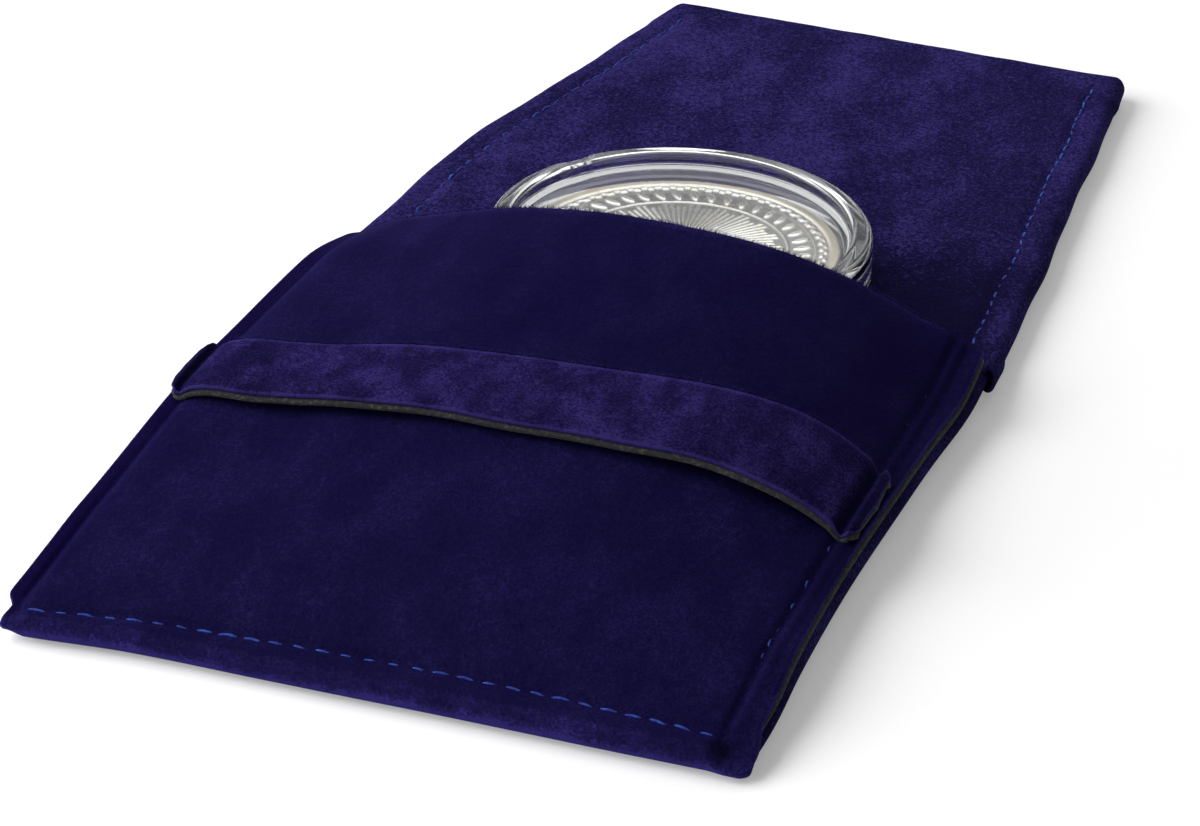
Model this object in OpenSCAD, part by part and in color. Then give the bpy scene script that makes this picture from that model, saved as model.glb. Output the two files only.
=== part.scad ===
// Velvet coin pouch, lying open, with a clear coin capsule half drawn from its pocket.
// +Z is up and the pouch lies on z = 0. Y runs from the bottom fold to the end of the flap.

/* [Pouch] */
// Room beside the capsule, out to the cut side edge
side_room = 16.1; // [15:0.1:20]
// Distance from the bottom fold to the corners of the pocket's mouth
pocket_len = 87; // [80:1:100]
// Length of back panel beyond the mouth, up to the soft hinge
mouth_to_hinge = 10; // [8:0.5:12]
// Thickness of the velvet
velvet_t = 0.8; // [0.6:0.1:1.2]
// Thickness of the stiff core in the back panel and the flap
board_t = 1.6; // [1:0.1:2]
// Distance from a cut side edge to the core
board_inset = 1.5; // [1:0.25:3]

/* [Front panel] */
// Thickness of the dark felt behind the front velvet
front_felt_t = 1; // [0.8:0.1:1.4]
// Free height over the capsule in the middle of the mouth
mouth_room = 3; // [2.8:0.1:5]
// How square the arch is across the pouch: 2 is a parabola
crown_square = 2.6; // [2.6:0.1:4]
// How soon the arch rises from the bottom fold: 1 is a straight ramp
crown_rise = 1.5; // [1.5:0.1:2.5]
// Width of the flat seam along each side edge
seam_w = 1.5; // [1:0.25:2.5]

/* [Strap] */
// Width of the strap
strap_w = 13; // [8:0.5:16]
// Distance from the bottom fold to the strap's middle line at the side edges
strap_y = 45; // [38:0.5:56]
// How far the strap bows towards the bottom fold in its middle
strap_bow = 2; // [0:0.25:5]
// Thickness of the strap's velvet
strap_velvet_t = 0.7; // [0.5:0.1:1]
// Thickness of the strap's felt
strap_felt_t = 0.9; // [0.6:0.1:1.2]
// Gap between the strap and the front panel
strap_gap = 0.8; // [0.3:0.05:1.2]
// Width at each end over which the strap comes down to the seam
strap_end_w = 2.5; // [1.5:0.25:5]

/* [Flap] */
// Length of the soft hinge between the back panel and the flap
hinge_len = 34; // [30:0.5:38]
// How far the soft hinge stands out past each side edge
hinge_overhang = 1; // [0:0.25:2]
// Length of the stiff flap beyond the hinge
flap_len = 47.5; // [45:0.5:65]
// Width of the flap at its far end
flap_end_w = 64; // [55:1:70]
// Radius of the flap's far corners
flap_corner_r = 3; // [1:0.5:6]
// Free height between the closed flap and the mouth
closed_gap = 0.4; // [0.3:0.1:1]

/* [Coin and capsule] */
// Diameter of the coin
coin_d = 38.6; // [34:0.1:43]
// Thickness of the coin at its rim
coin_t = 3; // [2:0.1:3.4]
// Depth of the coin's field below its rim
coin_field = 0.25; // [0.1:0.05:0.4]
// Width of the coin's rim
coin_rim = 1.2; // [0.8:0.1:2]
// Width of the capsule's ring around the coin
capsule_wall = 3.6; // [3.4:0.1:4.5]
// Distance from the mouth to the capsule's middle
capsule_out = 8; // [4:0.5:9]
// Thickness of the capsule's floor
capsule_floor = 0.9; // [0.7:0.1:1.2]
// Thickness of the capsule's window
window_t = 1.1; // [0.8:0.1:1.4]
// Width of the rim around the window, measured in from the edge
window_rim = 2.2; // [1.5:0.1:2.8]
// Depth of the window below the rim
window_drop = 0.5; // [0.2:0.1:0.8]
// Height of the parting line between the capsule's halves
parting_h = 2.4; // [2:0.1:3]
// Chamfer on the capsule's edges
capsule_chamfer = 0.4; // [0.2:0.1:0.6]

/* [Stitching] */
// Diameter of the thread
thread_d = 0.5; // [0.3:0.05:0.7]
// Length of one visible stitch
stitch_len = 1.7; // [1:0.1:2]
// Distance from one stitch to the next
stitch_pitch = 2.55; // [2.2:0.05:4]
// Distance from a side edge to its row of stitches
seam_inset = 4; // [3:0.25:5]
// Distance from the bottom fold to its row of stitches
bottom_inset = 5; // [4:0.25:7]

/* [Clearances] */
// Gap between the capsule and the lining that it slides on
slide_gap = 0.2; // [0.15:0.05:0.3]
// Gap around the coin in its recess
coin_gap = 0.2; // [0.1:0.05:0.4]
// Free height between the coin and the window
coin_head = 0.9; // [0.5:0.1:1.2]
// Gap between the two capsule halves where one enters the other
half_gap = 0.1; // [0.05:0.05:0.2]
// Gap between a stitch and the cloth that it lies on
thread_gap = 0.02; // [0.01:0.01:0.05]
// Gap between the soft hinge and the panels at its ends
hinge_gap = 0.3; // [0.2:0.05:0.5]

/* [Hidden] */
$fn = 96;
capsule_d = coin_d + 2 * capsule_wall;
capsule_t = capsule_floor + coin_t + coin_head + window_t + window_drop;
pouch_w = capsule_d + 2 * side_room;
half_w = pouch_w / 2;
crown_h = capsule_t + slide_gap + mouth_room;
back_t = velvet_t + board_t + velvet_t;
front_t = front_felt_t + velvet_t;
lining_z = back_t;
fold_r = (back_t + front_t) / 2;
arch_half = half_w - seam_w;

back_end = pocket_len + mouth_to_hinge;
hinge_start = back_end + hinge_gap;
flap_start = back_end + hinge_len;
hinge_end = flap_start - hinge_gap;
flap_end = flap_start + flap_len;
flap_fold_r = back_t / 2;
mid_y = flap_end / 2;

strap_t = strap_felt_t + strap_velvet_t;
capsule_y = pocket_len + capsule_out;
capsule_z = lining_z + slide_gap;
capsule_r = capsule_d / 2;
coin_r = coin_d / 2;
recess_r = coin_r + coin_gap;
ring_r = capsule_r - window_rim + half_gap;
skirt_r = ring_r + half_gap;
ring_top = capsule_t - window_drop - window_t - half_gap;

// The fold line runs across the pouch, level with the middle of the closed pouch's thickness.
closed_z = lining_z + crown_h + front_t + closed_gap;
fold_y = (back_end + flap_start) / 2;
fold_z = (lining_z + closed_z) / 2;
echo(fold_y = fold_y - mid_y, fold_z = fold_z);

// Grid of the curved sheets
cells_x = 26;
cells_y = 16;
strap_cells_y = 3;
corner_steps = 8;

velvet_dark = "#1b1448";
velvet_light = "#2b2366";
felt_grey = "#3a3a3f";
board_grey = "#55524f";
thread_blue = "#2f3fb0";
clear = [0.85, 0.9, 0.92, 0.35];
silver = "#c4c6c8";

// Height of the front panel's underside above the lining
function rise(y) = crown_h * (1 - pow(1 - (y - fold_r) / (pocket_len - fold_r), crown_rise));
function arch(x) = abs(x) >= arch_half ? 0 : 1 - pow(abs(x) / arch_half, crown_square);
function panel_z(x, y) = lining_z + rise(y) * arch(x);

// Middle line and lift of the strap
function strap_mid(x) = strap_y - strap_bow * (1 - pow(x / half_w, 2));
function strap_lift(x) = strap_gap * min(1, max(0, (arch_half - abs(x)) / strap_end_w));
function strap_z(x, y) = panel_z(x, y) + front_t + strap_lift(x);

// Half width of the flap at a distance along the pouch
function flap_half(y) = half_w + (flap_end_w / 2 - half_w) * (y - flap_start) / flap_len;

// Steps across the pouch: the flat seams, then even steps over the arch
function across(i) =
    i == 0 ? -half_w :
    i == cells_x ? half_w :
    -arch_half + 2 * arch_half * (i - 1) / (cells_x - 2);

function mix(a, b, t) = a + (b - a) * t;
function arc(centre, r, from, to) = [
    for (i = [0 : corner_steps])
        let (a = mix(from, to, i / corner_steps))
        [centre[0] + r * cos(a), centre[1] + r * sin(a)]
];

// A closed sheet between two grids of points, each a list of rows
module sheet(low, high) {
    rows = len(low);
    cols = len(low[0]);
    count = rows * cols;
    points = concat([for (row = low) each row], [for (row = high) each row]);
    function at(r, c, top) = top * count + r * cols + c;
    faces = concat(
        [for (r = [0 : rows - 2], c = [0 : cols - 2]) each [
            [at(r, c, 0), at(r, c + 1, 0), at(r + 1, c + 1, 0)],
            [at(r, c, 0), at(r + 1, c + 1, 0), at(r + 1, c, 0)],
            [at(r, c, 1), at(r + 1, c + 1, 1), at(r, c + 1, 1)],
            [at(r, c, 1), at(r + 1, c, 1), at(r + 1, c + 1, 1)]
        ]],
        [for (c = [0 : cols - 2]) each [
            [at(0, c, 0), at(0, c, 1), at(0, c + 1, 1)],
            [at(0, c, 0), at(0, c + 1, 1), at(0, c + 1, 0)],
            [at(rows - 1, c, 0), at(rows - 1, c + 1, 1), at(rows - 1, c, 1)],
            [at(rows - 1, c, 0), at(rows - 1, c + 1, 0), at(rows - 1, c + 1, 1)]
        ]],
        [for (r = [0 : rows - 2]) each [
            [at(r, 0, 0), at(r + 1, 0, 1), at(r, 0, 1)],
            [at(r, 0, 0), at(r + 1, 0, 0), at(r + 1, 0, 1)],
            [at(r, cols - 1, 0), at(r, cols - 1, 1), at(r + 1, cols - 1, 1)],
            [at(r, cols - 1, 0), at(r + 1, cols - 1, 1), at(r + 1, cols - 1, 0)]
        ]]
    );
    translate([0, -mid_y, 0])
        polyhedron(points, faces);
}

function panel_grid(lift) = [
    for (r = [0 : cells_y])
        let (y = mix(fold_r, pocket_len, r / cells_y))
        [for (i = [0 : cells_x]) [across(i), y, panel_z(across(i), y) + lift]]
];

function strap_grid(lift) = [
    for (r = [0 : strap_cells_y])
        [for (i = [0 : cells_x])
            let (x = across(i), y = strap_mid(x) + strap_w * (r / strap_cells_y - 0.5))
            [x, y, strap_z(x, y) + lift]]
];

// A slab across the pouch between two distances and two heights
module slab(w, from, to, low, high) {
    translate([-w / 2, from - mid_y, low])
        cube([w, to - from, high - low]);
}

// A profile drawn in Y and Z, drawn out across the pouch
module across_pouch(w) {
    translate([0, -mid_y, 0])
        rotate([90, 0, 90])
            linear_extrude(height = w, center = true)
                children();
}

// Half of a ring of cloth, on the side that dir points to
module fold_profile(centre, r, t, dir) {
    intersection() {
        translate(centre)
            difference() {
                circle(r);
                circle(r - t);
            }
        translate([centre[0] - (dir < 0 ? 2 * r : 0), centre[1] - 2 * r])
            square([2 * r, 4 * r]);
    }
}

// Outline of the flap, drawn in from its cut edges by inset
module flap_outline(inset) {
    r = max(flap_corner_r - inset, velvet_t);
    near = half_w - inset;
    far = flap_end_w / 2 - inset;
    lean = atan2(near - far, flap_len);
    reach = near * cos(lean) + flap_start * sin(lean) - r;
    centre = [(reach - (flap_end - r) * sin(lean)) / cos(lean), flap_end - r];
    right = arc(centre, r, lean, 90);
    left = [for (i = [corner_steps : -1 : 0]) [-right[i][0], right[i][1]]];
    polygon(concat([[-near, flap_start], [near, flap_start]], right, left));
}

// A layer of the flap between two heights, cut off at a distance along the pouch
module flap_plate(inset, to, low, high) {
    intersection() {
        translate([0, -mid_y, low])
            linear_extrude(height = high - low)
                flap_outline(inset);
        slab(pouch_w, flap_start, to, low, high);
    }
}

// One stitch lying along X
module stitch() {
    r = thread_d / 2;
    straight = stitch_len - thread_d;
    rotate([0, 90, 0])
        cylinder(r = r, h = straight, center = true);
    for (end = [-1, 1])
        translate([end * straight / 2, 0, 0])
            sphere(r);
}

// How many stitches a row takes, and where each one is
function stitch_count(from, to) = max(1, floor((to - from) / stitch_pitch));
function stitch_spot(from, to, i) = (from + to) / 2 + (i - (stitch_count(from, to) - 1) / 2) * stitch_pitch;

// A row of stitches along Y, at x = place(y), on cloth whose height is top(x, y)
module row_along(from, to, place, top) {
    step = stitch_len / 2;
    for (i = [0 : stitch_count(from, to) - 1]) {
        y = stitch_spot(from, to, i);
        x = place(y);
        slope = atan2(top(x, y + step) - top(x, y - step), stitch_len);
        lean = atan2(top(x + step, y) - top(x - step, y), stitch_len);
        turn = atan2(place(y - step) - place(y + step), stitch_len);
        lift = thread_d / 2 / cos(lean) + thread_gap;
        translate([x, y - mid_y, top(x, y) + lift])
            rotate([0, -slope, 90 + turn])
                stitch();
    }
}

// Heights of the cloth under the rows, and the seams' distance from the middle
front_top = function (x, y) panel_z(x, y) + front_t;
strap_top = function (x, y) strap_z(x, y) + strap_t;
lining_top = function (x, y) lining_z;
seam_x = half_w - seam_inset;
strap_low = strap_mid(seam_x) - strap_w / 2;
strap_high = strap_mid(seam_x) + strap_w / 2;

// The side seam of the front panel, broken where the strap covers it
module side_stitching(side) {
    place = function (y) side * seam_x;
    row_along(bottom_inset + stitch_pitch, strap_low, place, front_top);
    row_along(strap_high, pocket_len, place, front_top);
}

module flap_side_stitching(side) {
    place = function (y) side * (flap_half(y) - seam_inset);
    row_along(flap_start, flap_end - flap_corner_r, place, lining_top);
}

// Outer velvet of the back, folded up round the bottom edge to meet the front panel
module back_cover() {
    color(velvet_dark)
        across_pouch(pouch_w) {
            fold_profile([fold_r, fold_r], fold_r, velvet_t, -1);
            translate([fold_r, 0])
                square([back_end - fold_r, velvet_t]);
        }
}

module back_board() {
    color(board_grey)
        slab(pouch_w - 2 * board_inset, fold_r, back_end, velvet_t, velvet_t + board_t);
}

module back_lining() {
    color(velvet_light)
        slab(pouch_w, fold_r, back_end, lining_z - velvet_t, lining_z);
}

module front_cover() {
    color(velvet_dark)
        sheet(panel_grid(front_felt_t), panel_grid(front_t));
}

module front_felt() {
    color(felt_grey)
        sheet(panel_grid(0), panel_grid(front_felt_t));
}

module strap_velvet() {
    color(velvet_light)
        sheet(strap_grid(strap_felt_t), strap_grid(strap_t));
}

module strap_felt() {
    color(felt_grey)
        sheet(strap_grid(0), strap_grid(strap_felt_t));
}

// The stitches of the side seams that hold the strap's ends
module strap_tacks() {
    color(thread_blue)
        for (side = [-1, 1])
            row_along(strap_low, strap_high, function (y) side * seam_x, strap_top);
}

module bottom_stitching() {
    color(thread_blue)
        for (i = [0 : stitch_count(-seam_x, seam_x) - 1]) {
            x = stitch_spot(-seam_x, seam_x, i);
            y = bottom_inset;
            step = stitch_len / 2;
            slope = atan2(front_top(x + step, y) - front_top(x - step, y), stitch_len);
            translate([x, y - mid_y, front_top(x, y) + thread_d / 2 + thread_gap])
                rotate([0, -slope, 0])
                    stitch();
        }
}

module left_stitching() {
    color(thread_blue)
        side_stitching(-1);
}

module right_stitching() {
    color(thread_blue)
        side_stitching(1);
}

// The soft hinge: outer and inner cloth with no core
module hinge_cover() {
    color(velvet_dark)
        slab(pouch_w + 2 * hinge_overhang, hinge_start, hinge_end, 0, back_t / 2);
}

module hinge_lining() {
    color(velvet_light)
        slab(pouch_w + 2 * hinge_overhang, hinge_start, hinge_end, back_t / 2, lining_z);
}

module hinge_stitching() {
    color(thread_blue)
        for (side = [-1, 1])
            row_along(hinge_start, hinge_end, function (y) side * seam_x, lining_top);
}

// Outer velvet of the flap, folded over its far end to meet the lining
module flap_cover() {
    color(velvet_dark)
        intersection() {
            across_pouch(pouch_w) {
                fold_profile([flap_end - flap_fold_r, flap_fold_r], flap_fold_r, velvet_t, 1);
                translate([flap_start, 0])
                    square([flap_len - flap_fold_r, velvet_t]);
            }
            flap_plate(0, flap_end, 0, back_t);
        }
}

module flap_board() {
    color(board_grey)
        flap_plate(board_inset, flap_end - flap_fold_r, velvet_t, velvet_t + board_t);
}

module flap_lining() {
    color(velvet_light)
        flap_plate(0, flap_end - flap_fold_r, lining_z - velvet_t, lining_z);
}

module flap_left_stitching() {
    color(thread_blue)
        flap_side_stitching(-1);
}

module flap_right_stitching() {
    color(thread_blue)
        flap_side_stitching(1);
}

module in_capsule() {
    translate([0, capsule_y - mid_y, capsule_z])
        children();
}

// Lower half: floor and a raised ring that holds the coin
module capsule_base() {
    c = capsule_chamfer;
    color(clear)
        in_capsule()
            rotate_extrude()
                polygon([
                    [0, 0], [capsule_r - c, 0], [capsule_r, c], [capsule_r, parting_h],
                    [ring_r, parting_h], [ring_r, ring_top], [recess_r, ring_top],
                    [recess_r, capsule_floor], [0, capsule_floor]
                ]);
}

// Upper half: a sunk window in a raised rim, and a skirt that goes over the ring
module capsule_lid() {
    c = capsule_chamfer;
    top = capsule_t - window_drop;
    color(clear)
        in_capsule()
            rotate_extrude()
                polygon([
                    [0, top - window_t], [skirt_r, top - window_t], [skirt_r, parting_h + half_gap],
                    [capsule_r, parting_h + half_gap], [capsule_r, capsule_t - c], [capsule_r - c, capsule_t],
                    [capsule_r - window_rim + c, capsule_t], [capsule_r - window_rim - c, top], [0, top]
                ]);
}

module coin() {
    field = coin_r - coin_rim;
    color(silver)
        in_capsule()
            translate([0, 0, capsule_floor])
                rotate_extrude()
                    polygon([
                        [0, coin_field], [field, coin_field], [field + coin_field, 0], [coin_r, 0],
                        [coin_r, coin_t], [field + coin_field, coin_t], [field, coin_t - coin_field],
                        [0, coin_t - coin_field]
                    ]);
}

back_cover();
back_board();
back_lining();
front_cover();
front_felt();
strap_velvet();
strap_felt();
strap_tacks();
bottom_stitching();
left_stitching();
right_stitching();
hinge_cover();
hinge_lining();
hinge_stitching();
flap_cover();
flap_board();
flap_lining();
flap_left_stitching();
flap_right_stitching();
capsule_base();
capsule_lid();
coin();
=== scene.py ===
import bpy
import math
from functools import partial
import numpy as np
from mathutils import Matrix, Vector


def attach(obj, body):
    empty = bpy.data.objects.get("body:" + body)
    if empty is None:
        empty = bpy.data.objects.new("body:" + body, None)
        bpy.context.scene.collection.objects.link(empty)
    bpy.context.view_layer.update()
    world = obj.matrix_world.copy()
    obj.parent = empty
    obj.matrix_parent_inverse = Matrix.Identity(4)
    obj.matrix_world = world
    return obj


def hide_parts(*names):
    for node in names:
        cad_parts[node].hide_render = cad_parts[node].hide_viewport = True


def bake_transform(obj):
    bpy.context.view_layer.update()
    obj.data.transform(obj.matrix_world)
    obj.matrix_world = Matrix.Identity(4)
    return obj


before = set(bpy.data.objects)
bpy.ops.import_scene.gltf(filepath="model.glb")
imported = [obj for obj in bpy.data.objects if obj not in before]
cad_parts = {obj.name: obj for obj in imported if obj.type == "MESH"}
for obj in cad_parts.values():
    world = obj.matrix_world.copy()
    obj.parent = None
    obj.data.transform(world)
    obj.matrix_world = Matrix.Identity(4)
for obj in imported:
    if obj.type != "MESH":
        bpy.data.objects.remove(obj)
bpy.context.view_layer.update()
scene = bpy.context.scene
scene.view_settings.view_transform = "Standard"
print("frame loaded:", len(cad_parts), "nodes")

# All shapes are worked out in millimetres, with y measured from the bottom fold
middleY = 89.25
mm = 0.001


def toFrame(points):
    moved = np.array(points, float)
    moved[..., 1] -= middleY
    return moved * mm


def unit(vectors):
    return vectors / np.maximum(np.linalg.norm(vectors, axis=-1, keepdims=True), 1e-12)


def ease(value):
    t = np.clip(value, 0, 1)
    return t * t * (3 - 2 * t)


# Smooth steps: up from 0 past a start, and down to 0 at an end
def fadeIn(value, start, span):
    return ease((value - start) / span)


def fadeOut(value, end, span):
    return ease((end - value) / span)


def bulge(value, middle, spread):
    return np.exp(-((value - middle) / spread) ** 2)


# What a rounded corner takes off a straight edge
def cornerCut(over, radius):
    return radius - np.sqrt(radius ** 2 - np.clip(over, 0, radius) ** 2)


def link(name, data):
    made = bpy.data.objects.new(name, data)
    scene.collection.objects.link(made)
    return made


# Camera
shot = {
    "lens": 108.225, "sensor": 36, "near": 0.01, "far": 20,
    "place": (0.124942, -0.358844, 0.194729), "down": 28.5424, "turn": -20.2782, "roll": -1.1789,
}


def makeCamera():
    down, turn, roll = (math.radians(shot[key]) for key in ("down", "turn", "roll"))
    flat = math.cos(down)
    ahead = np.array((math.sin(turn) * flat, math.cos(turn) * flat, -math.sin(down)))
    level = np.array((math.cos(turn), -math.sin(turn), 0))
    below = np.cross(ahead, level)
    axes = np.eye(4)
    axes[:3, 0] = math.cos(roll) * level + math.sin(roll) * below
    axes[:3, 1] = math.sin(roll) * level - math.cos(roll) * below
    axes[:3, 2] = -ahead
    axes[:3, 3] = shot["place"]
    data = bpy.data.cameras.new("camera")
    data.lens, data.sensor_width = shot["lens"], shot["sensor"]
    data.clip_start, data.clip_end = shot["near"], shot["far"]
    camera = link("camera", data)
    camera.matrix_world = Matrix(axes.tolist())
    scene.camera = camera


makeCamera()


# Materials: a wire is a socket that takes part in sums
class Wire:
    def __init__(self, tree, socket):
        self.tree, self.socket = tree, socket

    def sum(self, operation, first, second):
        node = self.tree.nodes.new("ShaderNodeMath")
        node.operation = operation
        plug(self.tree, node.inputs[0], first)
        plug(self.tree, node.inputs[1], second)
        return Wire(self.tree, node.outputs[0])

    def __add__(self, other):
        return self.sum("ADD", self, other)

    def __radd__(self, other):
        return self.sum("ADD", other, self)

    def __sub__(self, other):
        return self.sum("SUBTRACT", self, other)

    def __rsub__(self, other):
        return self.sum("SUBTRACT", other, self)

    def __mul__(self, other):
        return self.sum("MULTIPLY", self, other)

    def __rmul__(self, other):
        return self.sum("MULTIPLY", other, self)


def plug(tree, spot, value):
    if isinstance(value, Wire):
        tree.links.new(value.socket, spot)
    else:
        spot.default_value = value


class Finish:
    def __init__(self, name, world=None):
        self.owner = world or bpy.data.materials.new(name)
        self.owner.use_nodes = True
        self.tree = self.owner.node_tree
        self.tree.nodes.clear()

    def node(self, kind, settings=None, sockets=None, out=0):
        made = self.tree.nodes.new(kind)
        for key, value in (settings or {}).items():
            if key == "stops":
                ramp = made.color_ramp
                while len(ramp.elements) < len(value):
                    ramp.elements.new(0.5)
                for element, (spot, colour) in zip(ramp.elements, value):
                    element.position, element.color = spot, colour
            else:
                setattr(made, key, value)
        for key, value in (sockets or {}).items():
            plug(self.tree, made.inputs[key], value)
        return Wire(self.tree, made.outputs[out])

    def spots(self, stretch=(1, 1, 1), turn=0.0):
        place = self.node("ShaderNodeTexCoord", out="Object")
        sockets = {"Vector": place, "Rotation": (0, 0, turn), "Scale": stretch}
        return self.node("ShaderNodeMapping", {}, sockets, out="Vector")

    # A noise whose lumps are about size millimetres across
    def noise(self, vector, size, detail=2.0, rough=0.6):
        sockets = {"Vector": vector, "Scale": 1 / (size * mm), "Detail": detail, "Roughness": rough}
        return self.node("ShaderNodeTexNoise", {}, sockets, out="Fac")

    def span(self, value, low, high):
        sockets = {"Value": value, "From Min": low, "From Max": high}
        return self.node("ShaderNodeMapRange", {"interpolation_type": "SMOOTHSTEP"}, sockets)

    def blend(self, share, first, second):
        sockets = {"Factor": share, 6: first, 7: second}
        return self.node("ShaderNodeMix", {"data_type": "RGBA"}, sockets, out=2)

    def bump(self, height, strength, depth):
        sockets = {"Height": height, "Strength": strength, "Distance": depth * mm}
        return self.node("ShaderNodeBump", {}, sockets, out="Normal")

    def attribute(self, name):
        return self.node("ShaderNodeAttribute", {"attribute_name": name}, out="Fac")

    def surface(self, sockets):
        return self.node("ShaderNodeBsdfPrincipled", {}, sockets)

    def end(self, shader, kind="ShaderNodeOutputMaterial"):
        self.tree.links.new(shader.socket, self.tree.nodes.new(kind).inputs["Surface"])
        return self.owner


def rgb(text):
    parts = [int(text[i:i + 2], 16) / 255 for i in (0, 2, 4)]
    return tuple(p / 12.92 if p <= 0.04045 else ((p + 0.055) / 1.055) ** 2.4 for p in parts) + (1.0,)


# What all the velvet shares, and then each cloth's own look; sizes are in millimetres
velvetPile = {
    "stretch": (1.0, 0.6, 1.0), "blotchEdges": (0.32, 0.68), "shadingCalm": 0.55,
    "rough": 0.78, "roughSpan": 0.2,
    "grainHeight": 0.6, "clumpHeight": 0.8, "blotchHeight": 0.25, "bumpDepth": 0.22, "gloss": 0.012,
}
velvetLooks = {
    "front": {
        "stops": ((0, "080423"), (0.5, "0f0b2b"), (0.8, "18133c"), (1, "2a2360")), "brushTurn": 8,
        "blotch": 6.0, "blotchDetail": 2.0, "mottle": 0.16, "clumpSize": 0.9, "clump": 0.35,
        "grainSize": 0.3, "grain": 0.7, "lift": 0.38, "wear": 0.6, "bump": 0.5,
        "sheen": 0.05, "sheenRough": 0.35, "sheenTint": "3a30b0",
    },
    "lining": {
        "stops": ((0, "0a071f"), (0.5, "171236"), (1, "2b2558")), "brushTurn": -24,
        "blotch": 8.0, "blotchDetail": 2.5, "mottle": 0.28, "clumpSize": 0.75, "clump": 0.6,
        "grainSize": 0.34, "grain": 1.5, "lift": 0.39, "wear": 0.6, "bump": 0.6,
        "sheen": 0.06, "sheenRough": 0.4, "sheenTint": "3a30b0",
    },
    "strap": {
        "stops": ((0, "0b0822"), (0.5, "191239"), (1, "282152")), "brushTurn": 35,
        "blotch": 3.4, "blotchDetail": 1.5, "mottle": 0.32, "clumpSize": 1.2, "clump": 0.55,
        "grainSize": 0.3, "grain": 1.2, "lift": 0.31, "wear": 0.6, "bump": 0.6,
        "sheen": 0.07, "sheenRough": 0.4, "sheenTint": "4238b8",
    },
}


def velvetFinish(name, look):
    f = Finish(name)
    every = velvetPile
    brushed = f.spots(every["stretch"], math.radians(look["brushTurn"]))
    blotch = f.span(f.noise(brushed, look["blotch"], look["blotchDetail"], 0.55), *every["blotchEdges"])
    clump = f.noise(f.spots(), look["clumpSize"], 2.0, 0.55)
    grain = f.noise(f.spots(), look["grainSize"], 1.5)
    # A point attribute lifts the tone as a painted highlight or sheen and lowers it as painted shade; the
    # grain is calmer where it lifts
    wear = f.attribute("wear")
    speckle = (clump - 0.5) * look["clump"] + (grain - 0.5) * look["grain"]
    shade = blotch * look["mottle"] + speckle * (1.0 - wear * every["shadingCalm"])
    shade = shade + look["lift"] + wear * look["wear"]
    stops = [(spot, rgb(tint)) for spot, tint in look["stops"]]
    colour = f.node("ShaderNodeValToRGB", {"stops": stops}, {"Fac": f.span(shade, 0.0, 1.0)}, out="Color")
    height = grain * every["grainHeight"] + clump * every["clumpHeight"] + blotch * every["blotchHeight"]
    return f.end(f.surface({
        "Base Color": colour, "Roughness": every["rough"] + every["roughSpan"] * clump,
        "Normal": f.bump(height, look["bump"], every["bumpDepth"]), "Specular IOR Level": every["gloss"],
        "Sheen Weight": look["sheen"], "Sheen Roughness": look["sheenRough"],
        "Sheen Tint": rgb(look["sheenTint"]),
    }))


feltLook = {
    "dark": "0e0e12", "pale": "343539", "fleck": "4c4a40", "fleckShare": 0.7, "fleckEdges": (0.5, 0.72),
    "fibreSize": 0.35, "fleckSize": 0.5, "rough": 0.86, "roughSpan": 0.12, "bumpDepth": 0.25,
    "sheen": 0.15, "sheenTint": "9a9aa0",
}


def feltFinish(look):
    f = Finish("felt")
    fibre = f.noise(f.spots((1.0, 1.0, 3.0)), look["fibreSize"], 4.0, 0.7)
    fleck = f.span(f.noise(f.spots(), look["fleckSize"]), *look["fleckEdges"])
    base = f.blend(fibre, rgb(look["dark"]), rgb(look["pale"]))
    return f.end(f.surface({
        "Base Color": f.blend(fleck * look["fleckShare"], base, rgb(look["fleck"])),
        "Roughness": look["rough"] + look["roughSpan"] * fibre,
        "Normal": f.bump(fibre, 0.8, look["bumpDepth"]), "Specular IOR Level": 0.1,
        "Sheen Weight": look["sheen"], "Sheen Roughness": 0.5, "Sheen Tint": rgb(look["sheenTint"]),
    }))


threadLook = {
    "dark": "1b2667", "pale": "2a4d9f", "plyShade": "121a52", "patchSize": 1.4, "patchEdges": (0.4, 0.74),
    "plySize": 0.16, "plyEdges": (0.56, 0.3), "plyShare": 0.5,
    "rough": 0.4, "roughSpan": 0.3, "bumpDepth": 0.08,
}


def threadFinish(look):
    f = Finish("thread")
    patch = f.span(f.noise(f.spots(), look["patchSize"]), *look["patchEdges"])
    ply = f.noise(f.spots(), look["plySize"])
    colour = f.blend(patch, rgb(look["dark"]), rgb(look["pale"]))
    # The thread darkens in the hollows between its plies: painted shade
    return f.end(f.surface({
        "Base Color": f.blend(f.span(ply, *look["plyEdges"]) * look["plyShare"], colour, rgb(look["plyShade"])),
        "Roughness": look["rough"] + look["roughSpan"] * ply,
        "Normal": f.bump(ply, 0.6, look["bumpDepth"]), "Specular IOR Level": 0.12,
    }))


boardLook = {
    "dark": "4a4641", "pale": "857f76", "fibreSize": 0.8, "rough": 0.8, "roughSpan": 0.15, "bumpDepth": 0.15,
}


def boardFinish(look):
    f = Finish("board")
    fibre = f.noise(f.spots((1.0, 0.4, 4.0)), look["fibreSize"], 5.0, 0.65)
    return f.end(f.surface({
        "Base Color": f.blend(fibre, rgb(look["dark"]), rgb(look["pale"])),
        "Roughness": look["rough"] + look["roughSpan"] * fibre,
        "Normal": f.bump(fibre, 0.5, look["bumpDepth"]),
    }))


acrylicLook = {
    "tint": "fbfdfe", "index": 1.49, "hazeSize": 5, "hazeEdges": (0.5, 0.75),
    "rough": 0.012, "roughSpan": 0.04,
    "scuffSize": 2.2, "scuffTurn": 0.7, "scuffDepth": 0.05, "shadowTint": (0.93, 0.94, 0.95, 1),
}


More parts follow.
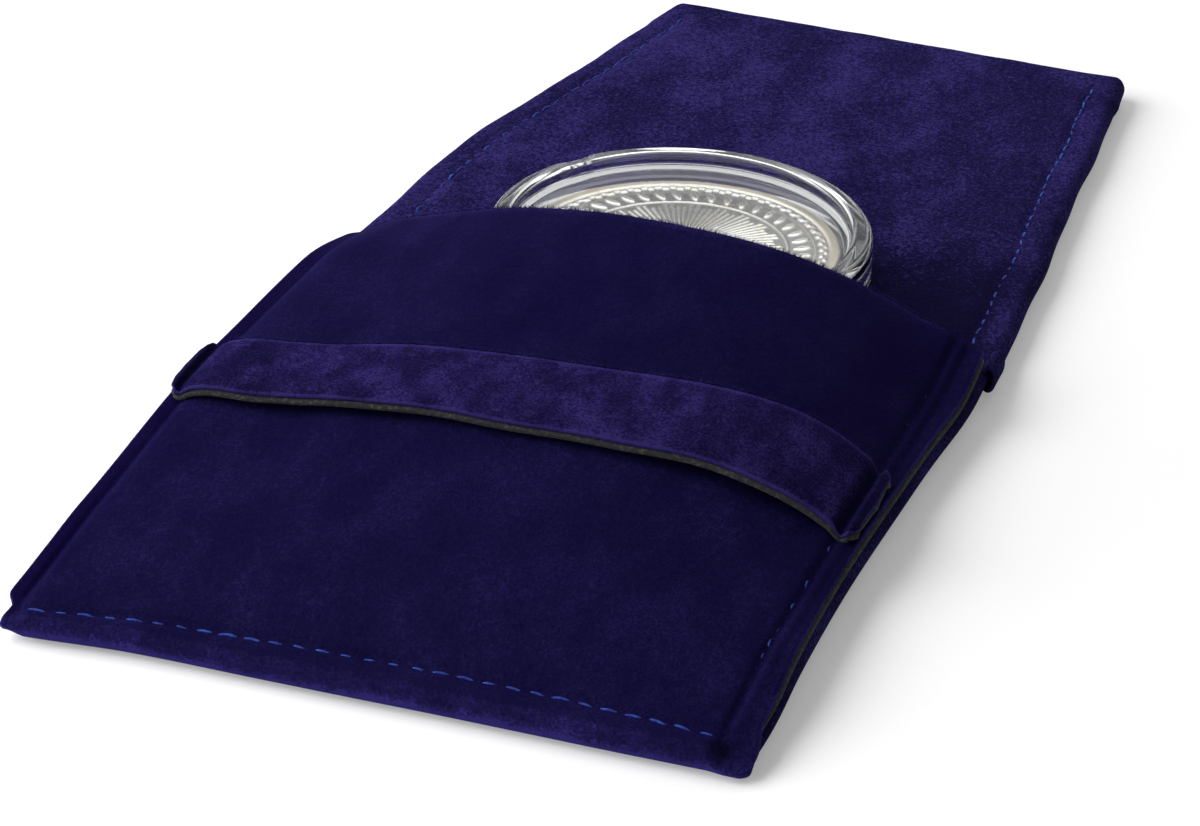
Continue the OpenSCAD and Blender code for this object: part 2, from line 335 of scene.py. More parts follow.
def acrylicFinish(look):
    f = Finish("acrylic")
    haze = f.span(f.noise(f.spots(), look["hazeSize"], 4.0), *look["hazeEdges"])
    scuff = f.noise(f.spots((1.0, 6.0, 1.0), look["scuffTurn"]), look["scuffSize"], 3.0)
    glass = f.surface({
        "Base Color": rgb(look["tint"]), "IOR": look["index"],
        "Roughness": look["rough"] + look["roughSpan"] * haze,
        "Transmission Weight": 1.0, "Normal": f.bump(scuff, 0.04, look["scuffDepth"]),
    })
    clear = f.node("ShaderNodeBsdfTransparent", {}, {"Color": look["shadowTint"]})
    lamp = f.node("ShaderNodeLightPath", out="Is Shadow Ray")
    return f.end(f.node("ShaderNodeMixShader", {}, {0: lamp, 1: glass, 2: clear}))


silverLook = {
    "bright": "f0ede6", "warm": "e6d9bf", "rim": "ecdcbc", "low": "6c6c6a",
    "tarnishSize": 4.5, "satinSize": 0.12,
    "tarnishEdges": (0.42, 0.72), "rimEdges": (1.02, 1.2), "fieldShadeEdges": (0.45, 0.0),
    "rough": 0.16, "satinRough": 0.12, "tarnishRough": 0.08, "rimRough": 0.16, "bumpDepth": 0.03,
}


# The relief attribute is 0 in the field, 1 on the design and more than 1 on the rim
def silverFinish(look):
    f = Finish("silver")
    relief = f.attribute("relief")
    rim = f.span(relief, *look["rimEdges"])
    tarnish = f.span(f.noise(f.spots(), look["tarnishSize"], 4.0), *look["tarnishEdges"])
    satin = f.noise(f.spots(), look["satinSize"])
    metal = f.blend(tarnish * 0.5, rgb(look["bright"]), rgb(look["warm"]))
    metal = f.blend(rim * 0.75, metal, rgb(look["rim"]))
    rough = look["rough"] + look["satinRough"] * satin + look["tarnishRough"] * tarnish
    rough = rough + look["rimRough"] * rim
    # The field around the design takes a darker grey: painted shade
    return f.end(f.surface({
        "Base Color": f.blend(f.span(relief, *look["fieldShadeEdges"]) * 0.5, metal, rgb(look["low"])),
        "Metallic": 1.0, "Roughness": rough, "Normal": f.bump(satin, 0.06, look["bumpDepth"]),
    }))


velvet = {key: velvetFinish("velvet_" + key, look) for key, look in velvetLooks.items()}
felt, thread, board = feltFinish(feltLook), threadFinish(threadLook), boardFinish(boardLook)
acrylic, silver = acrylicFinish(acrylicLook), silverFinish(silverLook)
print("finishes made")


# Sewn pouch: a pair beside a name with Fade is where a smooth step begins or ends, and how long it is
pouch = {
    "half": 39.2, "length": 87.0, "foldRadius": 1.5, "frontTop": 5.0, "swell": 18.0,
    "velvetThick": 0.8, "velvetPinch": 0.42, "feltThick": 1.0, "feltThin": 0.45, "feltPinch": 0.5,
    "feltFade": (4, 10), "feltLeftThin": 0.45, "feltLeftFade": (37.4, 1.2),
    "feltPress": 0.78, "pressInFade": (6, 6), "pressOutFade": (33, 5), "pressFade": (46, 10),
    "liningTop": 3.2, "liningLow": 1.75, "liningFade": (5, 16),
    "riseFrom": 2.5, "crown": 9.6, "crownRise": 1.5, "archHalf": 38.0, "archSquare": 2.5, "mouthCorner": 1.5,
    "ripple": 0.14, "rippleSeed": 3,
    "seamAt": 36.6, "leftSeamAt": 37.2, "seamDepth": 0.34, "seamWidth": 0.5, "seamFade": (1, 5),
    "droop": 0.3, "droopSpan": 2.4,
    "bottomSeam": 4.0, "bottomSeamDepth": 0.42, "bottomSeamWidth": 0.75, "bottomPinch": 0.6,
    "bow": 1.9, "bowAt": 8, "bowHalf": 44,
    "foldPinch": 0.42, "pinchFade": (35.6, 2.0), "pinchEndFade": (5.5, 3.5),
    "skew": 1.7, "skewReach": 40, "bottomShift": 0.95, "shiftReach": 22, "sagReach": 16,
    "hump": 0.15, "humpAt": -20, "humpWide": 8,
    "leftSag": 0.8, "leftSagFade": (24, 14), "rightSag": 0.25, "rightSagFade": (5, 25),
    "farSkew": 0.95, "farHalf": 32, "farSkewFade": (150, 28),
    "curl": 2.7, "curlFade": (22, 17), "curlFromFade": (12, 36), "curlToFade": (96, 22),
    "leftPuff": 0.8, "puffFade": (28, 8), "cornerLift": 1.6, "liftFade": (31, 7), "liftFromFade": (75, 11),
    "rightInset": 0.7, "insetFade": (3, 4), "rightGrow": 0.45, "leftGrow": -0.2,
    "rightWaves": ((-0.6, 38, 20), (0.7, 80, 10), (0.25, 10, 8)), "leftWaves": ((0.3, 70, 12),),
    "leftNotch": 1.2, "notchFade": (4.6, 2.0), "rightRound": 2.4, "rightRoundShare": 0.5,
}


def ripple(x, y, seed, waves=7):
    dice = np.random.default_rng(seed)
    total = 0
    for i in range(waves):
        angle, size, phase = dice.uniform(0, math.pi), dice.uniform(9, 26), dice.uniform(0, 6.28)
        total = total + np.sin((x * math.cos(angle) + y * math.sin(angle)) * 6.28 / size + phase)
    return total / waves


# The cloth was cut a little askew at both ends
def skewed(x, y):
    near = pouch["skew"] * (x / pouch["half"]) * ease(1 - y / pouch["skewReach"])
    near = near + pouch["bottomShift"] * ease(1 - y / pouch["shiftReach"])
    sag = pouch["hump"] * bulge(x, pouch["humpAt"], pouch["humpWide"])
    sag = sag - pouch["leftSag"] * fadeIn(-x, *pouch["leftSagFade"])
    sag = sag - pouch["rightSag"] * fadeIn(x, *pouch["rightSagFade"])
    far = pouch["farSkew"] * (x / pouch["farHalf"]) * fadeIn(y, *pouch["farSkewFade"])
    return y + near + sag * ease(1 - y / pouch["sagReach"]) - far


def clothRow(x, y, z):
    return np.stack([x, skewed(x, np.full_like(x, y)), z], 1)


# The left side edge curls up off the table
def curlShare(x, y):
    side = fadeIn(-x, *pouch["curlFade"])
    return side * fadeIn(y, *pouch["curlFromFade"]) * fadeOut(y, *pouch["curlToFade"])


def curl(x, y):
    return pouch["curl"] * curlShare(x, y)


def rise(y):
    start, end = pouch["riseFrom"], pouch["length"]
    left = np.clip(1 - np.maximum(y - start, 0) / (end - start), 0, 1)
    return pouch["crown"] * (1 - left ** pouch["crownRise"])


def sideLevel(y):
    low = 2 * pouch["foldRadius"]
    return low + (pouch["frontTop"] - low) * fadeIn(y, pouch["foldRadius"], pouch["swell"])


def liningLevel(y):
    return pouch["liningLow"] + (pouch["liningTop"] - pouch["liningLow"]) * fadeIn(y, *pouch["liningFade"])


def seamOff(x):
    return np.abs(x) - np.where(x < 0, pouch["leftSeamAt"], pouch["seamAt"])


def seamShare(x, y):
    return bulge(seamOff(x), 0, pouch["seamWidth"]) * fadeIn(y, *pouch["seamFade"])


def bottomLine(x):
    return pouch["bottomSeam"] - pouch["bow"] * ((x - pouch["bowAt"]) / pouch["bowHalf"]) ** 2


def bottomShare(x, y):
    return ease(0.5 - seamOff(x) / 2) * bulge(y, bottomLine(x), pouch["bottomSeamWidth"])


# The bottom fold is pressed together at its left end, and down to the table at its right end
def foldClosed(x, y, z):
    share = fadeIn(np.abs(x), *pouch["pinchFade"]) * fadeOut(y, *pouch["pinchEndFade"])
    stay = np.where(x < 0, pouch["foldRadius"], 0.0)
    return stay + (z - stay) * (1 - pouch["foldPinch"] * share)


def frontOpen(x, y):
    arch = 1 - np.clip(np.abs(x) / pouch["archHalf"], 0, 1) ** pouch["archSquare"]
    z = sideLevel(y) + rise(y) * arch
    z = z + pouch["ripple"] * ripple(x, y, pouch["rippleSeed"]) * arch + curl(x, y)
    z = z + pouch["leftPuff"] * fadeIn(-x, *pouch["puffFade"]) * curlShare(np.full_like(x, -pouch["half"]), y)
    z = z + pouch["cornerLift"] * fadeIn(x, *pouch["liftFade"]) * fadeIn(y, *pouch["liftFromFade"])
    z = z - pouch["droop"] * ease(seamOff(x) / pouch["droopSpan"])
    return z - pouch["seamDepth"] * seamShare(x, y) - pouch["bottomSeamDepth"] * bottomShare(x, y)


def frontTop(x, y):
    return foldClosed(x, y, frontOpen(x, y))


def pinched(x, y):
    return np.maximum(seamShare(x, y), bottomShare(x, y) * pouch["bottomPinch"])


def velvetDepth(x, y):
    return pouch["velvetThick"] * (1 - pouch["velvetPinch"] * pinched(x, y))


# The felt is thin at the fold and the left edge, and pressed where the capsule slides under it
def feltDepth(x, y):
    full = pouch["feltThin"] + (pouch["feltThick"] - pouch["feltThin"]) * fadeIn(y, *pouch["feltFade"])
    pressed = pouch["feltPress"] * fadeIn(np.abs(x), *pouch["pressInFade"])
    pressed = pressed * fadeOut(np.abs(x), *pouch["pressOutFade"]) * fadeIn(y, *pouch["pressFade"])
    thin = pouch["feltLeftThin"] * fadeIn(-x, *pouch["feltLeftFade"])
    return full * (1 - pouch["feltPinch"] * pinched(x, y)) * (1 - thin) * (1 - pressed)


# Places from low to high, closer together near some of them
def crowded(low, high, step, places=(), near=0.0, fine=1.0):
    spots, at = [low], low
    while at < high - 1e-6:
        close = any(abs(at - place) < near for place in places)
        at = min(high, at + (fine if close else step))
        spots.append(at)
    return np.array(spots)


def plainMesh(name, points, faces, material):
    mesh = bpy.data.meshes.new(name)
    mesh.from_pydata(points.tolist(), [], faces)
    mesh.shade_smooth()
    mesh.materials.append(material)
    mesh.update()
    return link(name, mesh)


def keepNumbers(mesh, label, values):
    mesh.attributes.new(label, "FLOAT", "POINT").data.foreach_set("value", values.astype(np.float32))


# A closed sheet of cloth from the grid of its outer face, with rounded cut edges; each point keeps its
# painted light or shade, and the cut edges can take a painted sheen
def clothMesh(name, outer, thick, material, wear=0.0, edgeSheen=0.0, bend=4):
    rows, cols = outer.shape[:2]
    along, sideways = np.gradient(outer, axis=0), np.gradient(outer, axis=1)
    normal = unit(np.cross(along, sideways))
    thick = np.broadcast_to(np.asarray(thick, float), (rows, cols))[..., None]
    inner = outer - normal * thick
    rim = [(0, c) for c in range(cols)] + [(r, cols - 1) for r in range(1, rows)]
    rim += [(rows - 1, c) for c in range(cols - 2, -1, -1)] + [(r, 0) for r in range(rows - 2, 0, -1)]
    ri, ci = np.array(rim).T
    away = np.zeros((len(rim), 3))
    for last, slope, index in ((rows - 1, along, ri), (cols - 1, sideways, ci)):
        away += unit(slope[ri, ci]) * ((index == last).astype(float) - (index == 0).astype(float))[:, None]
    away = unit(away)
    centre, radius = (outer[ri, ci] + inner[ri, ci]) / 2, thick[ri, ci] / 2
    loops = []
    for k in range(1, bend):
        a = math.pi * k / bend
        loops.append(centre + radius * (normal[ri, ci] * math.cos(a) + away * math.sin(a)))
    points = np.concatenate([outer.reshape(-1, 3), inner.reshape(-1, 3)] + loops)
    size, n = rows * cols, len(rim)
    grid = np.arange(size).reshape(rows, cols)
    top = np.stack([grid[:-1, :-1], grid[1:, :-1], grid[1:, 1:], grid[:-1, 1:]], -1).reshape(-1, 4)
    faces = [top, top[:, ::-1] + size]
    edge = [2 * size + k * n + np.arange(n) for k in range(bend - 1)]
    chain = [grid[ri, ci]] + edge + [grid[ri, ci] + size]
    for first, second in zip(chain, chain[1:]):
        faces.append(np.stack([first, np.roll(first, -1), np.roll(second, -1), second], -1))
    made = plainMesh(name, toFrame(points), np.concatenate(faces).tolist(), material)
    flat = np.broadcast_to(np.asarray(wear, float), (rows, cols)).ravel()
    keepNumbers(made.data, "wear", np.concatenate([flat, flat, np.full(n * (bend - 1), edgeSheen)]))
    return made


# Outline of the back, hinge and flap: half width at a distance from the bottom fold
flap = {
    "hemStart": 88.6, "hemWide": 4.0, "hemTurn": 1.0,
    "backEnd": 97.0, "hingeRows": (98, 132), "boardFrom": 133,
    "end": 178.3, "endGrow": 0.35, "endGrowFade": (168, 3), "cornerRadius": 1.8,
    "tuck": 1.9, "tuckFade": (2, 5),
    "leftHalf": 41.2, "leftTaperAt": 119.5, "leftTaper": 0.19, "leftBend": 8,
    "rightHalf": 40.8, "rightTaperAt": 92.5, "rightTaper": 0.0715, "waves": ((0.14, 6.1, 1), (0.09, 2.7, 2)),
    "foldY": 114.0, "foldReach": 14.5,
}


def flapHalf(y, side):
    if side < 0:
        past = y - flap["leftTaperAt"]
        wide = flap["leftHalf"] - flap["leftTaper"] * (past + np.sqrt(past ** 2 + flap["leftBend"] ** 2)) / 2
    else:
        wide = flap["rightHalf"] - flap["rightTaper"] * (y - flap["rightTaperAt"])
    for tall, length, shift in flap["waves"]:
        wide = wide + tall * np.sin(y / length + shift * side)
    wide = wide + flap["endGrow"] * fadeIn(y, *flap["endGrowFade"])
    return wide - cornerCut(y - flap["end"] + flap["cornerRadius"], flap["cornerRadius"])


def pouchHalf(y, side):
    grow, waves = (pouch[("right" if side > 0 else "left") + part] for part in ("Grow", "Waves"))
    wide = pouch["half"] + grow + sum(tall * bulge(y, at, spread) for tall, at, spread in waves)
    if side < 0:
        return wide - pouch["leftNotch"] * fadeOut(y, *pouch["notchFade"])
    return wide - pouch["rightRoundShare"] * cornerCut(pouch["rightRound"] - y, pouch["rightRound"])


def frontHalf(y, side):
    inset = pouch["rightInset"] * fadeIn(y, *pouch["insetFade"]) * (side > 0)
    cut = cornerCut(y - pouch["length"] + pouch["mouthCorner"], pouch["mouthCorner"])
    return pouchHalf(y, side) - inset - cut


def halfWidth(y, side):
    share = fadeIn(y, flap["hemStart"] - flap["hemTurn"] / 2, flap["hemTurn"])
    return pouchHalf(y, side) * (1 - share) + flapHalf(y, side) * share


def across(share, half, y, inset=0.0):
    return share * np.where(share < 0, half(y, -1) - inset, half(y, 1) - inset)


# Outer velvet: over the front from the mouth, round the bottom fold and along the underside to the flap's end
outer = {
    "frontStep": 0.8, "seamNear": 3.0, "seamStep": 0.28, "turns": 15, "backStep": 2.0, "flapStep": 2.2,
    "acrossStep": 0.022, "seamsAt": (-0.935, 0.935), "acrossNear": 0.075, "acrossFine": 0.0062,
    "edgeSheen": 0.6,
    # Tone steps for painted shade and painted highlights on the outer velvet
    "shade": 0.13, "shadeFade": (51, 8), "shadeAcrossFade": (-30, 22),
    "leftShade": 0.5, "leftShadeFade": (36.9, 0.6), "mouthSheen": 0.4, "mouthFade": (85.6, 1.2),
    "foldSheen": ((0.24, 0, 0.6), (0.66, 0.9, 1.6)), "underSheen": 0.95, "underFade": (4, 2),
}


def outerVelvet():
    r = pouch["foldRadius"]
    fine = [pouch["bottomSeam"]], outer["seamNear"], outer["seamStep"]
    frontY = crowded(r, pouch["length"], outer["frontStep"], *fine)
    underY = np.concatenate([
        crowded(r, flap["backEnd"], outer["backStep"]), np.arange(*flap["hingeRows"], 1.0),
        crowded(flap["boardFrom"], flap["end"] - flap["tuck"], outer["flapStep"]),
    ])
    share = crowded(-1, 1, outer["acrossStep"], outer["seamsAt"], outer["acrossNear"], outer["acrossFine"])
    rows, thick, wear = [], [], []
    for y in frontY[::-1]:
        x = across(share, frontHalf, y)
        rows.append(clothRow(x, y, frontTop(x, y)))
        thick.append(velvetDepth(x, y))
        # Painted shade over the upper right of the front and on its left edge band, and a painted sheen along
        # the mouth
        shadingHere = -outer["shade"] * fadeIn(y, *outer["shadeFade"]) * fadeIn(x, *outer["shadeAcrossFade"])
        shadingHere = shadingHere - outer["leftShade"] * fadeIn(-x, *outer["leftShadeFade"])
        wear.append(shadingHere + outer["mouthSheen"] * fadeIn(y, *outer["mouthFade"]))
    for a in np.radians(np.linspace(0, 180, outer["turns"]))[1:-1]:
        y = r - r * math.sin(a)
        x = across(share, pouchHalf, y)
        lift = (frontOpen(x, np.full_like(x, r)) - 2 * r) * (1 + math.cos(a)) / 2
        rows.append(clothRow(x, y, foldClosed(x, y, r + r * math.cos(a) + lift)))
        thick.append(np.full_like(x, pouch["velvetThick"]))
        # A painted highlight along the rim of the bottom fold
        shadingHere = sum(most * fadeIn(a, start, span) for most, start, span in outer["foldSheen"])
        wear.append(np.full_like(x, shadingHere))
    for y in underY:
        x = across(share, halfWidth, y, flap["tuck"] * fadeIn(y, *flap["tuckFade"]))
        rows.append(clothRow(x, y, foldClosed(x, y, curl(x, y))))
        thick.append(np.full_like(x, pouch["velvetThick"]))
        # The fold's painted highlight carries on under it, close to the fold
        wear.append(np.full_like(x, outer["underSheen"] * fadeOut(y, *outer["underFade"])))
    rows, thick, wear = np.array(rows), np.array(thick), np.array(wear)
    return clothMesh("outer_velvet", rows, thick, velvet["front"], wear, outer["edgeSheen"])


# Felt backing of the front panel
backingCut = {
    "from": 2.4, "mouthInset": 0.35, "step": 1.2, "seamNear": 2.5, "seamStep": 0.3, "gap": 0.02,
    "acrossStep": 0.03, "acrossNear": 0.075, "acrossFine": 0.009,
    "leftInset": 1.2, "leftFade": (5, 2), "rightProud": 0.06, "rightInset": 1.4, "rightFade": (4.6, 1.6),
}


def frontFelt():
    cut = backingCut
    high = pouch["length"] - cut["mouthInset"]
    frontY = crowded(cut["from"], high, cut["step"], [pouch["bottomSeam"]], cut["seamNear"], cut["seamStep"])
    share = crowded(-1, 1, cut["acrossStep"], outer["seamsAt"], cut["acrossNear"], cut["acrossFine"])
    rows, thick = [], []
    for y in frontY[::-1]:
        left = frontHalf(y, -1) - cut["leftInset"] * fadeOut(y, *cut["leftFade"])
        right = frontHalf(y, 1) + cut["rightProud"] - cut["rightInset"] * fadeOut(y, *cut["rightFade"])
        x = share * np.where(share < 0, left, right)
        rows.append(clothRow(x, y, frontTop(x, y) - velvetDepth(x, y) - cut["gap"]))
        thick.append(feltDepth(x, y))
    return clothMesh("front_felt_backing", np.array(rows), np.array(thick), felt)


# Velvet lining of the back, the hinge and the flap, rolled down and under at its edges
inside = {
    "from": 4.5, "step": 0.8, "hemNear": 1.4, "hemStep": 0.2, "columns": 111, "thick": 0.65,
    "rollRadius": 1.5, "rollUnder": -68, "underSteps": 5, "rollSteps": 7,
    "rollMost": 1.93, "hiddenInset": 0.25,
    "floor": 0.2, "cornerThick": 0.05, "cornerBend": 0.6, "freeFade": (90, 8), "freeShare": 0.6,
    "waves": ((0.12, 1.0, 11), (0.08, 2.3, 5)),
    "seamDepth": 0.34, "seamWidth": 0.6, "seamFromFade": (88, 3), "seamEnd": 4, "seamEndSpan": 3,
    "shade": 1.3, "shadeFade": (12, 10), "shadeToFade": (122, 26), "shadeEdgeFade": (38.5, 4),
}


def liningWave(x, y):
    return sum(tall * ripple(x * scale, y * scale, seed) for tall, scale, seed in inside["waves"])


def liningVelvet():
    under = np.linspace(inside["rollUnder"], 0, inside["underSteps"])[:-1]
    bends = np.radians(np.concatenate([under, np.linspace(0, 90, inside["rollSteps"])]))
    turnIn, turnDown = 1 - np.cos(bends), np.sin(bends) - 1
    roll, end = inside["rollRadius"], flap["end"]
    fine = [flap["hemStart"]], inside["hemNear"], inside["hemStep"]
    flatY = crowded(inside["from"], end - roll, inside["step"], *fine)[::-1][1:]
    y = np.concatenate([end - roll * turnIn, flatY])
    endDown = np.concatenate([roll * turnDown, np.zeros(len(flatY))])
    rowBend = np.concatenate([bends, np.full(len(flatY), math.pi)])
    flatShare = np.linspace(-1, 1, inside["columns"])[1:-1]
    level = np.zeros(len(flatShare))
    tight = np.concatenate([bends < inside["cornerBend"], level > 0, (bends < inside["cornerBend"])[::-1]])
    rows, thick, wear = [], [], []
    for at, fallY, bent in zip(y, endDown, rowBend):
        hidden = bent < 0
        top = liningLevel(at)
        r = (top - inside["floor"]) / 2
        reach = end if hidden else at
        left, right = (halfWidth(reach, side) - inside["hiddenInset"] * hidden for side in (-1, 1))
        middle = -(left - r) + (flatShare + 1) / 2 * (left + right - 2 * r)
        x = np.concatenate([-left + r * turnIn, middle, (right - r * turnIn)[::-1]])
        fallX = np.concatenate([r * turnDown, level, r * turnDown[::-1]])
        fall = -np.minimum(np.hypot(fallX, fallY), inside["rollMost"] * r)
        free = fadeIn(at, *inside["freeFade"]) * ease(1 + fall / (inside["freeShare"] * r))
        z = top + fall + curl(x, at) + liningWave(x, at) * free
        seam = bulge(np.abs(x), np.where(x < 0, left, right) - flap["hemWide"], inside["seamWidth"])
        seam = seam * fadeIn(at, *inside["seamFromFade"])
        seam = seam * fadeOut(at, end - inside["seamEnd"], inside["seamEndSpan"])
        rows.append(clothRow(x, at, z - inside["seamDepth"] * seam))
        thick.append(np.where(tight & (bent < inside["cornerBend"]), inside["cornerThick"], inside["thick"]))
        # Painted shade on the lining beside the capsule, behind the mouth's right corner
        shade = fadeIn(x, *inside["shadeFade"]) * fadeOut(at, *inside["shadeToFade"])
        wear.append(-inside["shade"] * shade * fadeOut(x, *inside["shadeEdgeFade"]))
    return clothMesh("lining_velvet", np.array(rows), np.array(thick), velvet["lining"], np.array(wear))


# Open end of the flap's hem beside each corner of the mouth
hem = {
    "centre": 39.95, "high": 1.7, "wide": 1.0, "start": 88.0, "length": 4.0, "thick": 0.6, "lift": 0.04,
    "from": 128, "to": -150, "around": 27, "rows": 12, "flare": 0.12, "flareMost": 1.02, "ragged": 0.25,
    # A faint painted sheen over the hem ends and a stronger one on their cut edges
    "wear": 0.1, "edgeSheen": 0.5,
}


def hemEnd(name, side):
    along = np.linspace(0, 1, hem["rows"])[::side]
    flare = 1 + hem["flare"] * (1 - along) ** 2
    rows = []
    for a in np.radians(np.linspace(hem["from"], hem["to"], hem["around"])):
        x = side * (hem["centre"] + hem["wide"] * flare * math.cos(a))
        y = hem["start"] + hem["length"] * along + hem["ragged"] * math.sin(2 * a)
        z = hem["high"] * (1 + math.sin(a) * np.minimum(flare, hem["flareMost"])) + hem["lift"]
        rows.append(np.stack([x, y, z], 1))
    return clothMesh(name, np.array(rows), hem["thick"], velvet["lining"], hem["wear"], hem["edgeSheen"])


# Strap across the front
strap = {
    "width": 11.9, "flare": 2.0, "middle": 45.5, "slant": 2.9, "bow": 0.2, "half": 39.1,
    "leftHalf": 38.7, "rightHalf": 38.5, "corner": 1.3, "velvetThick": 0.7, "feltThick": 0.72, "gap": 0.3,
    "clothGap": 0.02, "feltGrow": 0.1, "upperLift": 0.35, "lowerLift": 0.7,
    "archHalf": 37.4, "leftSquare": 3.4, "rightSquare": 4.2, "ripple": 0.12, "rippleSeed": 21,
    "leftSeam": 37.2, "leftDepth": 0.4, "rightSeam": 36.9, "rightDepth": 0.85,
    "seamWidth": 0.5, "seamThin": 0.4,
    "lip": 0.22, "lipFade": (-1.5, 0.7), "lipDrop": 0.4, "lipDropFade": (-0.7, 0.7),
    "waves": ((0.12, 5.1, 3), (0.08, 2.3, 1)), "soften": 0.25, "softenFade": (0.8, 0.2),
    "step": 0.6, "seamsAt": (-37.3, 37.3), "seamNear": 2.6, "seamStep": 0.17, "rows": 25,
    # A painted sheen on the upper edge, and painted shade at the ends and over the left part
    "edgeSheen": 0.7, "edgeFade": (0.84, 0.16), "leftShade": 0.9, "leftShadeFade": (36.6, 0.8),
    "rightShade": 0.42, "rightShadeFade": (35.6, 1.0), "wideShade": 0.15, "wideShadeFade": (10, 15),
}


def strapPinch(x):
    left = bulge(x, -strap["leftSeam"], strap["seamWidth"])
    right = bulge(x, strap["rightSeam"], strap["seamWidth"])
    return strap["leftDepth"] * left + strap["rightDepth"] * right


def strapEnd(x):
    return np.abs(x) - np.where(x < 0, strap["leftHalf"], strap["rightHalf"])


def strapTop(x, y, share=0.0):
    side = np.clip(np.abs(x) / strap["archHalf"], 0, 1)
    arch = 1 - side ** np.where(x > 0, strap["rightSquare"], strap["leftSquare"])
    base = sideLevel(y) + strap["gap"] + strap["velvetThick"] + strap["feltThick"] + curl(x, y)
    free = strap["upperLift"] + (strap["lowerLift"] - strap["upperLift"]) * (1 - share) / 2
    z = base + (rise(y) + free) * arch + strap["ripple"] * ripple(x, y, strap["rippleSeed"]) * arch
    z = z + pouch["leftPuff"] * fadeIn(-x, *pouch["puffFade"]) - strapPinch(x)
    z = z + strap["lip"] * fadeIn(strapEnd(x), *strap["lipFade"])
    return z - strap["lipDrop"] * fadeIn(strapEnd(x), *strap["lipDropFade"])


def strapPlace(x, share):
    s = x / strap["half"]
    wide = strap["width"] + strap["flare"] * s
    y = strap["middle"] + strap["slant"] * s - strap["bow"] * s * s
    y = y + share * (wide / 2 - cornerCut(strapEnd(x) + strap["corner"], strap["corner"]))
    for tall, length, shift in strap["waves"]:
        y = y + tall * np.sin(x / length + shift * share)
    return y


def strapSheet(name, material, below, thick, grow, edgeSheen):
    ends = -strap["leftHalf"], strap["rightHalf"]
    x = crowded(*ends, strap["step"], strap["seamsAt"], strap["seamNear"], strap["seamStep"])
    thin = 1 - strap["seamThin"] * strapPinch(x)
    # Painted shade at both ends of the strap and over its left part, and a painted sheen along its upper edge
    shade = strap["leftShade"] * fadeIn(-x, *strap["leftShadeFade"])
    shade = shade + strap["rightShade"] * fadeIn(x, *strap["rightShadeFade"])
    shade = shade + strap["wideShade"] * fadeIn(-x, *strap["wideShadeFade"])
    rows, depth, wear = [], [], []
    for s in np.linspace(1, -1, strap["rows"]):
        y = strapPlace(x, s) + grow * s
        soften = strap["soften"] * fadeIn(abs(s), *strap["softenFade"])
        rows.append(np.stack([x, y, strapTop(x, y, s) - soften - below * thin], 1))
        depth.append(thick * thin)
        wear.append(edgeSheen * fadeIn(s, *strap["edgeFade"]) - shade)
    return clothMesh(name, np.array(rows), np.array(depth), material, np.array(wear), edgeSheen)


# Stiff cores of the back and the flap
core = {
    "back": (6.0, 96.5), "flapFrom": 131.5, "inset": 3.2, "step": 1.6, "columns": 61,
    "below": 0.72, "under": 0.85,
}


def boardSheet(name, low, high):
    rows, thick = [], []
    for y in crowded(low, high, core["step"])[::-1]:
        x = across(np.linspace(-1, 1, core["columns"]), halfWidth, y, core["inset"])
        top = liningLevel(y) - core["below"]
        rows.append(clothRow(x, y, top + curl(x, y)))
        thick.append(np.full_like(x, top - core["under"]))
    return clothMesh(name, np.array(rows), np.array(thick), board)


outerCloth, backing, lining = outerVelvet(), frontFelt(), liningVelvet()
velvetDown, feltDown = 0.0, strap["velvetThick"] + strap["clothGap"]
velvetCut = velvetDown, strap["velvetThick"], 0.0, strap["edgeSheen"]
strapVelvet = strapSheet("strap_velvet_face", velvet["strap"], *velvetCut)
strapFelt = strapSheet("strap_felt_back", felt, feltDown, strap["feltThick"], strap["feltGrow"], 0.0)
hems = [hemEnd("hem_end_left", -1), hemEnd("hem_end_right", 1)]
backCore = boardSheet("back_core", *core["back"])
flapCore = boardSheet("flap_core", core["flapFrom"], flap["end"] - core["inset"])
cloths = (outerCloth, backing, lining, strapVelvet, strapFelt)
print("cloth made:", sum(len(cloth.data.polygons) for cloth in cloths), "faces")


# Geometry Nodes: a rig copies one small shape onto points
def rigNode(tree, kind, settings=None, sockets=None):
    made = tree.nodes.new(kind)
    for key, value in (settings or {}).items():
        setattr(made, key, value)
    for key, value in (sockets or {}).items():
        if isinstance(value, bpy.types.NodeSocket):
            tree.links.new(value, made.inputs[key])
        else:
            made.inputs[key].default_value = value
    return made


def newRig(name, inputs):
    tree = bpy.data.node_groups.new(name, "GeometryNodeTree")
    tree.interface.new_socket(name="Points", in_out="INPUT", socket_type="NodeSocketGeometry")
    for label, kind in inputs:
        tree.interface.new_socket(name=label, in_out="INPUT", socket_type="NodeSocket" + kind)
    tree.interface.new_socket(name="Made", in_out="OUTPUT", socket_type="NodeSocketGeometry")
    return tree, tree.nodes.new("NodeGroupInput").outputs, partial(rigNode, tree)


def endRig(tree, node, copies, material):
    real = node("GeometryNodeRealizeInstances", {}, {"Geometry": copies.outputs[0]})
    dyed = node("GeometryNodeSetMaterial", {}, {"Geometry": real.outputs[0], "Material": material})
    smooth = node("GeometryNodeSetShadeSmooth", {}, {"Geometry": dyed.outputs[0]})
    tree.links.new(smooth.outputs[0], tree.nodes.new("NodeGroupOutput").inputs[0])
    return tree


def named(node, label, kind="FLOAT_VECTOR"):
    return node("GeometryNodeInputNamedAttribute", {"data_type": kind}, {"Name": label}).outputs[0]


